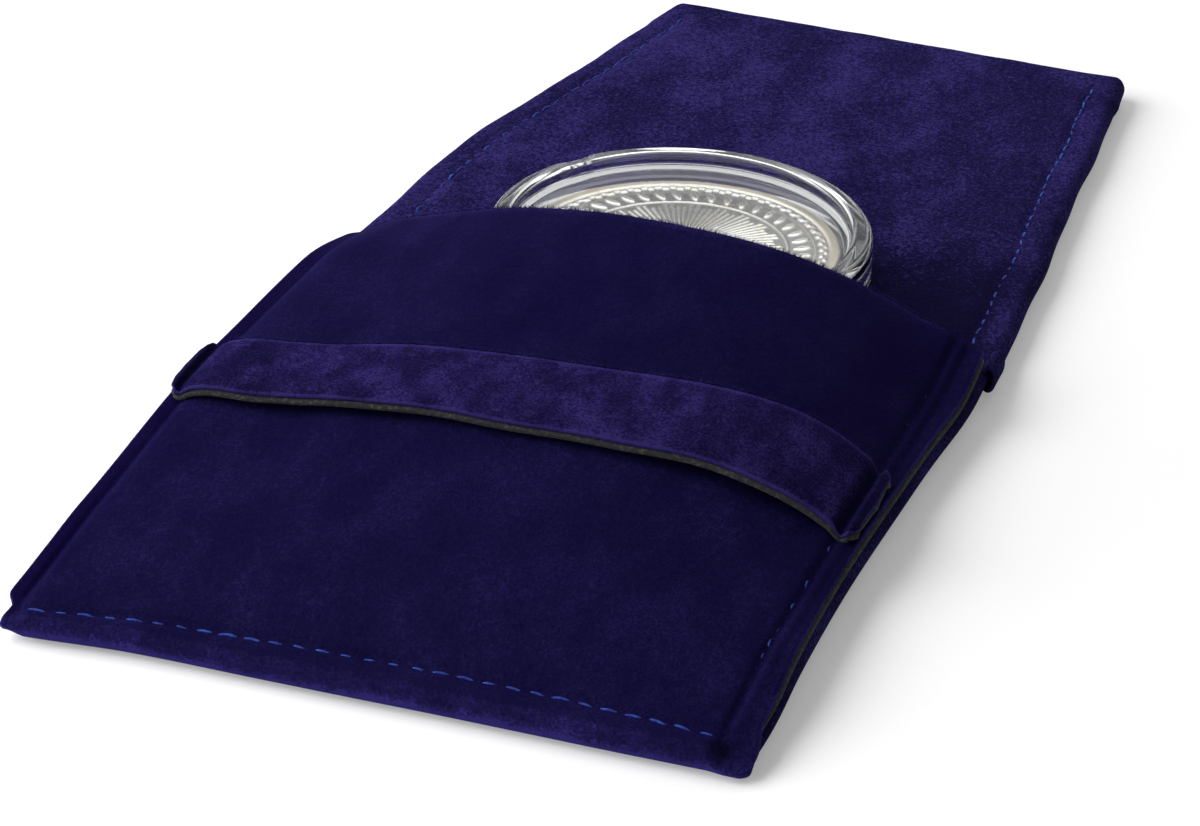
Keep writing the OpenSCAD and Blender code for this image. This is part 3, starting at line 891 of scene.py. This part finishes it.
# Runs a rig on points that carry vectors and numbers, and keeps the result as a plain mesh
def runRig(name, spot, vectors, tree, values, numbers=None):
    mesh = bpy.data.meshes.new(name + "_points")
    mesh.from_pydata(toFrame(spot).tolist(), [], [])
    for label, value in vectors.items():
        mesh.attributes.new(label, "FLOAT_VECTOR", "POINT").data.foreach_set("vector", value.ravel())
    for label, value in (numbers or {}).items():
        keepNumbers(mesh, label, value)
    holder = link(name + "_points", mesh)
    modifier = holder.modifiers.new("rows", "NODES")
    modifier.node_group = tree
    for item in tree.interface.items_tree:
        if item.in_out == "INPUT" and item.name in values:
            modifier[item.identifier] = values[item.name]
    drawn = holder.evaluated_get(bpy.context.evaluated_depsgraph_get())
    made = link(name, bpy.data.meshes.new_from_object(drawn))
    bpy.data.objects.remove(holder)
    return made


# Stitches: each row is a line of points with the way along the seam and the way up
stitching = {
    "length": 1.95, "pitch": 2.5, "thick": 0.33, "arch": 0.1, "sink": 0.22,
    "depthJitter": 0.09, "turnJitter": 0.14,
    "seed": 4, "swaySeed": 91, "sides": 7, "aim": 0.3, "slopeStep": 0.8,
    "bottomFrom": -36.6, "bottomTo": 36.4, "seamInset": 0.3, "sideFrom": 7, "sideTo": 86.5,
    "leftSunk": 0.24, "rightSunk": 0.18, "upperSunk": 0.07, "strapSunk": 0.2,
    "flapFrom": 1.2, "flapEnd": 4.5, "flapProud": 0.06,
}


def stitchTree():
    tree, source, node = newRig("stitch_rows", (
        ("Length", "Float"), ("Thickness", "Float"), ("Arch", "Float"), ("Sink", "Float"),
        ("Depth jitter", "Float"), ("Turn jitter", "Float"), ("Seed", "Int"), ("Thread", "Material"),
    ))

    def vector(**parts):
        return node("ShaderNodeCombineXYZ", {}, parts).outputs[0]

    def times(first, second):
        return node("ShaderNodeMath", {"operation": "MULTIPLY"}, {0: first, 1: second}).outputs[0]

    def chance(seed):
        sockets = {2: -1.0, 3: 1.0, "Seed": seed}
        return node("FunctionNodeRandomValue", {"data_type": "FLOAT"}, sockets).outputs[1]

    half, low = times(source["Length"], 0.5), times(source["Sink"], -1.0)
    line = node("GeometryNodeCurveQuadraticBezier", {}, {
        "Resolution": stitching["sides"], "Start": vector(X=times(half, -1.0), Z=low),
        "Middle": vector(Z=times(source["Arch"], 2.0)), "End": vector(X=half, Z=low),
    })
    ring = node("GeometryNodeCurvePrimitiveCircle", {}, {
        "Resolution": stitching["sides"], "Radius": times(source["Thickness"], 0.5),
    })
    one = node("GeometryNodeCurveToMesh", {}, {
        "Curve": line.outputs[0], "Profile Curve": ring.outputs[0], "Fill Caps": True,
    })
    along, up = named(node, "along"), named(node, "up")
    depth = times(chance(source["Seed"]), source["Depth jitter"])
    shift = node("ShaderNodeVectorMath", {"operation": "SCALE"}, {0: up, "Scale": depth}).outputs[0]
    moved = node("GeometryNodeSetPosition", {}, {"Geometry": source["Points"], "Offset": shift})
    axes = node("FunctionNodeAxesToRotation", {"primary_axis": "Z", "secondary_axis": "X"}, {0: up, 1: along})
    sway = times(chance(stitching["swaySeed"]), source["Turn jitter"])
    twist = node("FunctionNodeAxisAngleToRotation", {}, {"Axis": (0, 0, 1), "Angle": sway})
    turn = node("FunctionNodeRotateRotation", {"rotation_space": "LOCAL"}, {
        "Rotation": axes.outputs[0], "Rotate By": twist.outputs[0],
    })
    copies = node("GeometryNodeInstanceOnPoints", {}, {
        "Points": moved.outputs[0], "Instance": one.outputs[0], "Rotation": turn.outputs[0],
    })
    return endRig(tree, node, copies, source["Thread"])


def seamRow(track, top, sunk=0.0):
    track = np.array(track, float)
    run = np.concatenate([[0], np.cumsum(np.linalg.norm(np.diff(track, axis=0), axis=1))])
    pitch, step = stitching["pitch"], stitching["slopeStep"]
    count = int(run[-1] // pitch)
    spots = (run[-1] - (count - 1) * pitch) / 2 + np.arange(count) * pitch

    def planAt(distance):
        return np.stack([np.interp(distance, run, track[:, k]) for k in (0, 1)], 1)

    x, y = planAt(spots).T
    ahead = unit(planAt(spots + stitching["aim"]) - planAt(spots - stitching["aim"]))
    stepX, stepY = ahead.T * step
    slope = (top(x + stepX, y + stepY) - top(x - stepX, y - stepY)) / (2 * step)
    way = np.stack([ahead[:, 0], ahead[:, 1], slope], 1)
    side = np.stack([-ahead[:, 1], ahead[:, 0], np.zeros(count)], 1)
    return np.stack([x, skewed(x, y), top(x, y) - sunk], 1), unit(way), unit(np.cross(way, side))


def sewRows(name, rows, tree):
    spot, way, up = (np.concatenate(part) for part in zip(*rows))
    sizes = {
        "Length": "length", "Thickness": "thick", "Arch": "arch", "Sink": "sink",
        "Depth jitter": "depthJitter",
    }
    values = {label: stitching[key] * mm for label, key in sizes.items()}
    values.update({"Turn jitter": stitching["turnJitter"], "Seed": stitching["seed"], "Thread": thread})
    return runRig(name, spot, {"along": way, "up": up}, tree, values)


def straight(x, low, high, steps=60):
    return [(x, low + (high - low) * t) for t in np.linspace(0, 1, steps)]


def liningTopAt(x, y):
    return pouch["liningTop"] - inside["seamDepth"] + liningWave(x, y) * fadeIn(y, *inside["freeFade"])


stitchNodes = stitchTree()
bottomX = np.linspace(stitching["bottomFrom"], stitching["bottomTo"], 90)
pouchRows = [seamRow([(x, bottomLine(x)) for x in bottomX], frontTop)]
leftX, rightX = stitching["seamInset"] - pouch["leftSeamAt"], pouch["seamAt"] - stitching["seamInset"]
for sideX, sunk in ((leftX, stitching["leftSunk"]), (rightX, stitching["rightSunk"])):
    low, high = (float(strapPlace(np.array([sideX]), share)[0]) for share in (-1, 1))
    pouchRows.append(seamRow(straight(sideX, stitching["sideFrom"], low), frontTop, sunk))
    upperSunk = sunk + stitching["upperSunk"]
    pouchRows.append(seamRow(straight(sideX, high, stitching["sideTo"]), frontTop, upperSunk))
    pouchRows.append(seamRow(straight(sideX, low, high), strapTop, sunk + stitching["strapSunk"]))
flapY = np.linspace(flap["hemStart"] + stitching["flapFrom"], flap["end"] - stitching["flapEnd"], 120)
flapRows = []
for side in (-1, 1):
    track = [(side * (float(flapHalf(y, side)) - flap["hemWide"]), y) for y in flapY]
    flapRows.append(seamRow(track, liningTopAt, -stitching["flapProud"]))
pouchStitches = sewRows("pouch_stitching", pouchRows, stitchNodes)
flapStitches = sewRows("flap_stitching", flapRows, stitchNodes)
print("stitches sewn:", sum(len(row[0]) for row in pouchRows + flapRows))


# Loose pile that stands out along the mouth and the strap's upper edge, lightened with a painted sheen
pile = {
    "perMm": 60, "length": 0.62, "radius": 0.038, "lean": 0.32, "seed": 12,
    "turn": (-10, 130), "tall": (0.35, 1.0), "tallPower": 1.5,
    "root": 0.46, "slopeStep": 0.2, "mouthHalf": 37.6, "strapHalf": 36,
    "mouthSheen": 0.5, "strapSheen": 0.3,
}


def pileTree():
    inputs = ("Radius", "Float"), ("Length", "Float"), ("Velvet", "Material")
    tree, source, node = newRig("edge_pile", inputs)
    hair = node("GeometryNodeMeshCone", {"fill_type": "NGON"}, {
        "Vertices": 3, "Side Segments": 1, "Radius Top": 0.0, "Radius Bottom": source["Radius"],
        "Depth": source["Length"],
    })
    turn = node("FunctionNodeAlignRotationToVector", {"axis": "Z"}, {"Vector": named(node, "way")})
    copies = node("GeometryNodeInstanceOnPoints", {}, {
        "Points": source["Points"], "Instance": hair.outputs[0], "Rotation": turn.outputs[0],
        "Scale": named(node, "tall", "FLOAT"),
    })
    return endRig(tree, node, copies, source["Velvet"])


def pileRow(half, edge, top, thick, dice):
    count = int(2 * half * pile["perMm"])
    step = pile["slopeStep"]
    x = dice.uniform(-half, half, count)
    y = edge(x)
    slopeX = (top(x + step, edge(x + step)) - top(x - step, edge(x - step))) / (2 * step)
    slopeY = (top(x, y) - top(x, y - 2 * step)) / (2 * step)
    normal = unit(np.stack([-slopeX, -slopeY, np.ones(count)], 1))
    away = unit(np.stack([np.zeros(count), np.ones(count), slopeY], 1))
    turn = np.radians(dice.uniform(*pile["turn"], count))[:, None]
    ray = normal * np.cos(turn) + away * np.sin(turn)
    spot = np.stack([x, y, top(x, y)], 1) - normal * thick / 2 + ray * thick * pile["root"]
    way = ray + dice.normal(0, pile["lean"], (count, 3))
    return spot, way, dice.uniform(*pile["tall"], count) ** pile["tallPower"]


def makePile(name, row, tree, material, wear):
    spot, way, tall = row
    values = {"Radius": pile["radius"] * mm, "Length": pile["length"] * mm, "Velvet": material}
    return runRig(name, spot, {"way": way}, tree, values, {"tall": tall, "wear": np.full(len(tall), wear)})


def mouthEdge(x):
    return np.full_like(x, pouch["length"])


def strapEdge(x):
    return strapPlace(x, 1.0)


def strapEdgeTop(x, y):
    return strapTop(x, y, 1.0) - strap["soften"]


pileNodes = pileTree()
dice = np.random.default_rng(pile["seed"])
mouthRow = pileRow(pile["mouthHalf"], mouthEdge, frontTop, pouch["velvetThick"], dice)
strapRow = pileRow(pile["strapHalf"], strapEdge, strapEdgeTop, strap["velvetThick"], dice)
mouthPile = makePile("mouth_pile", mouthRow, pileNodes, velvet["front"], pile["mouthSheen"])
strapPile = makePile("strap_pile", strapRow, pileNodes, velvet["strap"], pile["strapSheen"])
print("pile set:", len(mouthPile.data.polygons) + len(strapPile.data.polygons), "faces")


# Capsule, turned from profiles of radius, height and fillet
capsule = {
    "place": (-0.2, 95.0, 3.4), "steps": 216, "filletSteps": 4,
    "notchAt": 145.0, "notchWide": 4.5, "notchDeep": 0.25, "notchIn": 0.35,
    "notchFade": (21.2, 1.6), "notchDeepFade": (5.2, 1.6), "notchInFade": (4.2, 1.2),
    "lid": (
        (0, 4.9, 0), (19.4, 4.9, 0.2), (20.9, 4.5, 0.15), (20.9, 2.5, 0.12), (22.9, 2.5, 0.2),
        (22.9, 6.5, 0.45), (22.3, 7.32, 0.4), (20.8, 7.32, 0.3), (20.3, 7.0, 0.2), (20.1, 6.1, 0.25),
        (0, 6.1, 0),
    ),
    "base": (
        (0, 0, 0), (18.5, 0, 0.2), (18.9, 0.25, 0.2), (20.6, 0.25, 0.2), (21.0, 0, 0.2), (22.4, 0, 0.3),
        (22.9, 0.5, 0.3), (22.9, 2.4, 0.2), (20.8, 2.4, 0.15), (20.8, 4.3, 0.12), (20.6, 4.5, 0.08),
        (20.4, 4.3, 0.12), (19.5, 0.9, 0.3), (0, 0.9, 0),
    ),
}


# A closed turned mesh from rings of radius and height, and the heights of its two ends on the axis
def turnedMesh(name, radius, height, ends, material, downward=False):
    rows, steps = radius.shape
    angles = np.arange(steps) * 2 * math.pi / steps
    points = np.stack([radius * np.cos(angles), radius * np.sin(angles), height], -1).reshape(-1, 3)
    points = np.concatenate([points, [(0, 0, end) for end in ends]]) + capsule["place"]
    grid = np.arange(rows * steps).reshape(rows, steps)
    after = np.roll(grid, -1, axis=1)
    quads = [grid[:-1], after[:-1], after[1:], grid[1:]]
    if downward:
        quads = [quads[k] for k in (0, 3, 2, 1)]
    faces = np.stack(quads, -1).reshape(-1, 4).tolist()
    for tip, ring in ((rows * steps, 0), (rows * steps + 1, -1)):
        pairs = zip(grid[ring].tolist(), after[ring].tolist())
        faces += [[tip, a, b] if downward == (ring == 0) else [tip, b, a] for a, b in pairs]
    return plainMesh(name, toFrame(points), faces, material)


def rounded(profile):
    out = []
    for i, (r, z, fillet) in enumerate(profile):
        if fillet == 0:
            out.append((r, z))
            continue
        here = np.array((r, z))
        back, ahead = (unit(np.array(profile[(i + k) % len(profile)][:2]) - here) for k in (-1, 1))
        for t in np.linspace(0, 1, capsule["filletSteps"] + 1):
            out.append(tuple(here + fillet * ((1 - t) ** 2 * back + t ** 2 * ahead)))
    return np.array(out)


def capsuleHalf(name, profile, notch=False):
    line = rounded(profile)
    r, z = (np.repeat(line[1:-1, k][:, None], capsule["steps"], 1) for k in (0, 1))
    if notch:
        degrees = np.degrees(np.arange(capsule["steps"]) * 2 * math.pi / capsule["steps"])
        off = (degrees - capsule["notchAt"] + 180) % 360 - 180
        scoop = np.exp(-(off / capsule["notchWide"]) ** 4)[None, :] * fadeIn(r, *capsule["notchFade"])
        z = z - capsule["notchDeep"] * scoop * fadeIn(z, *capsule["notchDeepFade"])
        r = r - capsule["notchIn"] * scoop * fadeIn(z, *capsule["notchInFade"])
    return turnedMesh(name, r, z, line[[0, -1], 1], acrylic)


# Coin: each ring of its design is a range of radii with a height
coin = {
    "radius": 19.3, "edge": 0.25, "thick": 3.0, "field": 0.26, "floor": 0.9, "rings": 118, "steps": 720,
    "rim": 18.0, "rimSoft": 0.2, "rimTall": 0.27, "rimMark": 0.3, "underMark": 0.7,
    "teeth": 60, "toothStep": 0.42, "border": (16.75, 17.4), "borderSoft": 0.14, "borderTall": 0.22,
    "bead": (16.15, 16.4), "beadTall": 0.12, "ring": (12.85, 13.2), "ringTall": 0.16, "ringSoft": 0.13,
    "leaves": 44, "leafAt": 14.8, "leafLong": 1.15, "leafLean": 0.16, "leafWide": 0.27, "leafTall": 0.24,
    "leafSoft": 0.1, "vein": 0.4, "veinWide": 0.045,
    "rays": 90, "rayFrom": 5.6, "rayTo": 12.1, "rayStep": 0.4, "rayWide": 0.34,
    "raySoft": 0.16, "rayTall": 0.15,
    "points": 8, "starReach": 7.6, "starPinch": 3.4, "starTall": 0.3, "starSlope": 4.5, "starRidge": 0.6,
    "starStep": 0.06, "starGap": 0.5,
    "under": ((19.3, 0.25), (19.22, 0.1), (19.05, 0.0), (18.2, 0.0), (17.95, 0.22), (9.0, 0.25)),
}


def coinRelief(r, a):
    def bar(low, high, soft):
        return fadeIn(r, low, soft) * fadeOut(r, high, soft)

    def part(count):
        return (a * coin[count] / (2 * math.pi)) % 1

    rim = coin["rimTall"] * fadeIn(r, coin["rim"], coin["rimSoft"])
    step = np.where(part("teeth") < 0.5, 0.0, coin["toothStep"])
    border = coin["borderTall"] * bar(coin["border"][0] + step, coin["border"][1] + step, coin["borderSoft"])
    bead = coin["beadTall"] * bar(*coin["bead"], coin["ringSoft"])
    ring = coin["ringTall"] * bar(*coin["ring"], coin["ringSoft"])
    tall = (r - coin["leafAt"]) / coin["leafLong"]
    bent = np.abs(part("leaves") - 0.5 - coin["leafLean"] * tall)
    wide = coin["leafWide"] * np.sqrt(np.clip(1 - tall ** 2, 0, 1))
    vein = coin["vein"] * ease(1 - bent / coin["veinWide"])
    leaf = coin["leafTall"] * fadeOut(bent, wide, coin["leafSoft"]) * (1 - vein)
    reach = coin["rayTo"] + coin["rayStep"] * np.sign(np.sin(a * coin["rays"] / 4))
    ray = coin["rayTall"] * fadeOut(np.abs(part("rays") - 0.5), coin["rayWide"], coin["raySoft"])
    ray = ray * bar(coin["rayFrom"], reach, 0.3)
    point = np.abs(part("points") - 0.5)
    edge = coin["starReach"] / (1 + coin["starPinch"] * point)
    star = coin["starTall"] * np.clip((edge - r) / coin["starSlope"], 0, 1) * (1 - coin["starRidge"] * point)
    star = star + coin["starStep"] * fadeOut(r, edge, 0.2)
    return rim + border + bead + leaf + ring + ray * (1 - fadeOut(r, edge + coin["starGap"], 0.3)) + star


def makeCoin():
    flat, bend = coin["radius"] - coin["edge"], np.radians([30, 60, 90])
    radii = np.concatenate([np.linspace(0.25, flat, coin["rings"]), flat + coin["edge"] * np.sin(bend)])
    drop = np.concatenate([np.zeros(coin["rings"]), coin["edge"] * (1 - np.cos(bend))])
    angles = np.arange(coin["steps"]) * 2 * math.pi / coin["steps"]
    r, a = np.meshgrid(radii, angles, indexing="ij")
    lift = coinRelief(r, a)
    top = coin["thick"] - coin["field"]
    under = np.repeat(np.array(coin["under"])[:, :, None], coin["steps"], 2)
    radius = np.concatenate([r, under[:, 0]])
    height = np.concatenate([top + lift - drop[:, None], under[:, 1]]) + coin["floor"]
    peak = coinRelief(np.array([0.0]), np.array([0.0]))[0]
    ends = [coin["floor"] + end for end in (top + peak, coin["under"][-1][1])]
    made = turnedMesh("struck_coin", radius, height, ends, silver, True)
    shown = np.clip(lift / coin["field"], 0, 1) + coin["rimMark"] * fadeIn(r, coin["rim"], coin["rimSoft"])
    marks = [shown.ravel(), np.full(under[:, 0].size, coin["underMark"]), [1.0, coin["underMark"]]]
    keepNumbers(made.data, "relief", np.concatenate(marks))
    return made


lidShell = capsuleHalf("capsule_lid_shell", capsule["lid"], True)
baseShell = capsuleHalf("capsule_base_shell", capsule["base"])
coinPiece = makeCoin()
print("capsule and coin turned:", len(coinPiece.data.polygons), "coin faces")


# Floor, light and sky
studio = {
    "floor": 0.78, "floorGlow": 0.25, "floorHalf": 4, "floorLevel": -0.0003, "sky": 0.21,
    "mirror": {"low": 0.03, "middle": 0.66, "high": 1.1, "left": 0.9},
    "middleEdges": (0.02, 0.34), "highEdges": (0.55, 0.88), "leftEdges": (-0.45, -0.85),
    "lamps": {
        "key": {"power": 13.5, "place": (-0.6, -0.16, 0.42), "size": 0.8},
        "back": {"power": 4.2, "place": (-0.05, 0.78, 0.28), "size": 0.7},
        "fill": {"power": 3.6, "place": (-0.52, -0.62, 0.26), "size": 0.6},
    },
}
white = (1, 1, 1, 1)


def seenBy(f, *rays):
    share = f.node("ShaderNodeLightPath", out=rays[0])
    for ray in rays[1:]:
        other = f.node("ShaderNodeLightPath", out=ray)
        share = f.node("ShaderNodeMath", {"operation": "MAXIMUM"}, {0: share, 1: other})
    return share


def makeFloor():
    mesh = bpy.data.meshes.new("floor")
    half, level = studio["floorHalf"], studio["floorLevel"]
    corners = [(x * half, y * half, level) for x, y in ((-1, -1), (1, -1), (1, 1), (-1, 1))]
    mesh.from_pydata(corners, [], [(0, 1, 2, 3)])
    f = Finish("floor")
    matt = f.node("ShaderNodeBsdfDiffuse", {}, {"Color": (studio["floor"],) * 3 + (1,)})
    glow = f.node("ShaderNodeEmission", {}, {"Color": white, "Strength": 1.0})
    seen = seenBy(f, "Is Camera Ray", "Is Glossy Ray", "Is Transmission Ray") * studio["floorGlow"]
    mesh.materials.append(f.end(f.node("ShaderNodeMixShader", {}, {0: seen, 1: matt, 2: glow})))
    link("floor", mesh)


# The camera sees white; metal and glass see a sky that brightens upwards and to the left
def makeSky():
    scene.world = bpy.data.worlds.new("sky")
    f = Finish("sky", scene.world)
    way = f.node("ShaderNodeTexCoord", out="Generated")
    toRight, upward = (f.node("ShaderNodeSeparateXYZ", {}, {"Vector": way}, out=axis) for axis in ("X", "Z"))
    tone = studio["mirror"]
    gloss = f.span(upward, *studio["middleEdges"]) * (tone["middle"] - tone["low"]) + tone["low"]
    gloss = gloss + f.span(upward, *studio["highEdges"]) * tone["high"]
    gloss = gloss + f.span(toRight, *studio["leftEdges"]) * tone["left"]
    levels = (studio["sky"], gloss, 1.0)
    soft, mirrored, plain = (
        f.node("ShaderNodeBackground", {}, {"Color": white, "Strength": level}) for level in levels
    )
    shiny = seenBy(f, "Is Glossy Ray", "Is Transmission Ray")
    unseen = f.node("ShaderNodeMixShader", {}, {0: shiny, 1: soft, 2: mirrored})
    whole = f.node("ShaderNodeMixShader", {}, {0: seenBy(f, "Is Camera Ray"), 1: unseen, 2: plain})
    f.end(whole, "ShaderNodeOutputWorld")


def makeLamps():
    for label, lamp in studio["lamps"].items():
        data = bpy.data.lights.new(label, "AREA")
        data.energy, data.size = lamp["power"], lamp["size"]
        holder = link(label, data)
        holder.location = lamp["place"]
        holder.visible_glossy = holder.visible_transmission = False
        holder.rotation_mode = "QUATERNION"
        holder.rotation_quaternion = Vector(lamp["place"]).to_track_quat("Z", "Y")


makeFloor()
makeSky()
makeLamps()
print("stage lit")

# What moves with what, a finish name listed for each piece, and the nodes that it stands for
pieces = (
    (outerCloth, "hinge", "velvet_dark", ("front_cover", "back_cover", "hinge_cover", "flap_cover")),
    (lining, "hinge", "velvet_light", ("back_lining", "hinge_lining", "flap_lining")),
    (flapStitches, "hinge", "thread", ("hinge_stitching", "flap_left_stitching", "flap_right_stitching")),
    (backing, "pouch", "felt", ("front_felt",)),
    (strapVelvet, "pouch", "velvet_light", ("strap_velvet",)),
    (strapFelt, "pouch", "felt", ("strap_felt",)),
    (pouchStitches, "pouch", "thread", (
        "strap_tacks", "bottom_stitching", "left_stitching", "right_stitching",
    )),
    (backCore, "pouch", "board", ("back_board",)),
    (mouthPile, "pouch", "velvet_dark", ()),
    (strapPile, "pouch", "velvet_light", ()),
    (hems[0], "pouch", "velvet_light", ()),
    (hems[1], "pouch", "velvet_light", ()),
    (flapCore, "flap", "board", ("flap_board",)),
    (lidShell, "capsule", "clear_plastic", ("capsule_lid",)),
    (baseShell, "capsule", "clear_plastic", ("capsule_base",)),
    (coinPiece, "capsule", "silver", ("coin",)),
)
for piece, body, slot, nodes in pieces:
    if body == "hinge":
        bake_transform(piece)
    else:
        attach(piece, body)
    if nodes:
        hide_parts(*nodes)
